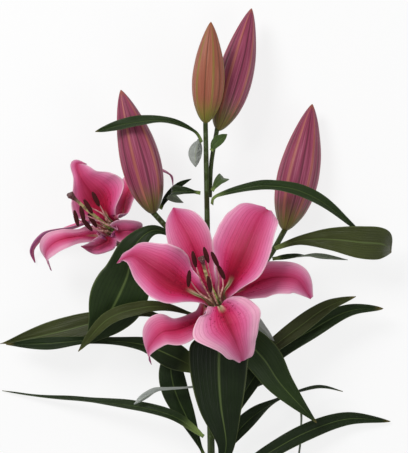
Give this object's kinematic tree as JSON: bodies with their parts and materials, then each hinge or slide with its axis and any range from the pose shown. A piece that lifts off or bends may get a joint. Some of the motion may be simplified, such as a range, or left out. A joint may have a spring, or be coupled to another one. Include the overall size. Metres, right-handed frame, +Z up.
{
  "type": "cut lily",
  "caption": "Cut pink lily lying on its back: a leafy stem whose short stalks carry open trumpet flowers and closed buds.",
  "frame": {"origin": "bottom centre of the whole plant, on the surface it lies on", "axes": "+Y along the stem from its cut end to the buds, +X across the stem towards the front flower's right petal, +Z up from the surface"},
  "size_m": [0.3792, 0.607, 0.1367],
  "materials": {
    "stem_green": "smooth, slightly waxy living stem",
    "leaf_green": "waxy upper face with parallel veins, paler matt underside",
    "petal_pink": "soft satin petal, crimson in the middle and pale at the rim",
    "bud_mauve": "satin closed sepals with raised ribs, green at the base",
    "anther_brown": "matt, powdery pollen",
    "pistil_green": "smooth, moist stigma"
  },
  "bodies": {
    "root": {"stem": "stem_green", "pedicel_bud_top_right": "stem_green", "pedicel_bud_left": "stem_green", "pedicel_bud_right": "stem_green", "pedicel_front_flower": "stem_green", "pedicel_left_flower": "stem_green", "bud_top_left": "bud_mauve", "bud_top_right": "bud_mauve", "bud_left": "bud_mauve", "bud_right": "bud_mauve", "front_flower_petal_right": "petal_pink", "front_flower_petal_left": "petal_pink", "front_flower_petal_low": "petal_pink", "front_flower_sepal_top": "petal_pink", "front_flower_sepal_right": "petal_pink", "front_flower_sepal_low": "petal_pink", "front_flower_stamen_1": "anther_brown", "front_flower_stamen_2": "anther_brown", "front_flower_stamen_3": "anther_brown", "front_flower_stamen_4": "anther_brown", "front_flower_stamen_5": "anther_brown", "front_flower_stamen_6": "anther_brown", "front_flower_pistil": "pistil_green", "left_flower_petal_top": "petal_pink", "left_flower_petal_right": "petal_pink", "left_flower_petal_low": "petal_pink", "left_flower_sepal_low_left": "petal_pink", "left_flower_sepal_left": "petal_pink", "left_flower_sepal_back": "petal_pink", "left_flower_stamen_1": "anther_brown", "left_flower_stamen_2": "anther_brown", "left_flower_stamen_3": "anther_brown", "left_flower_stamen_4": "anther_brown", "left_flower_stamen_5": "anther_brown", "left_flower_stamen_6": "anther_brown", "left_flower_pistil": "pistil_green", "leaf_top_left": "leaf_green", "leaf_top_pale": "leaf_green", "leaf_top_right_small": "leaf_green", "leaf_mid_right_small": "leaf_green", "leaf_mid_left": "leaf_green", "leaf_bract_left": "leaf_green", "leaf_right_long": "leaf_green", "leaf_right_folded": "leaf_green", "leaf_right_narrow": "leaf_green", "leaf_left_arching": "leaf_green", "leaf_left_strip": "leaf_green", "leaf_left_broad": "leaf_green", "leaf_left_under": "leaf_green", "leaf_left_long": "leaf_green", "leaf_curl_pale": "leaf_green", "leaf_low_left_back": "leaf_green", "leaf_centre_front": "leaf_green", "leaf_right_hanging": "leaf_green", "leaf_upper_right_back": "leaf_green", "leaf_upper_right_front": "leaf_green", "leaf_low_right_thin": "leaf_green", "leaf_low_right_broad": "leaf_green", "leaf_small_pale": "leaf_green", "leaf_right_edge_on": "leaf_green"}
  },
  "joints": []
}
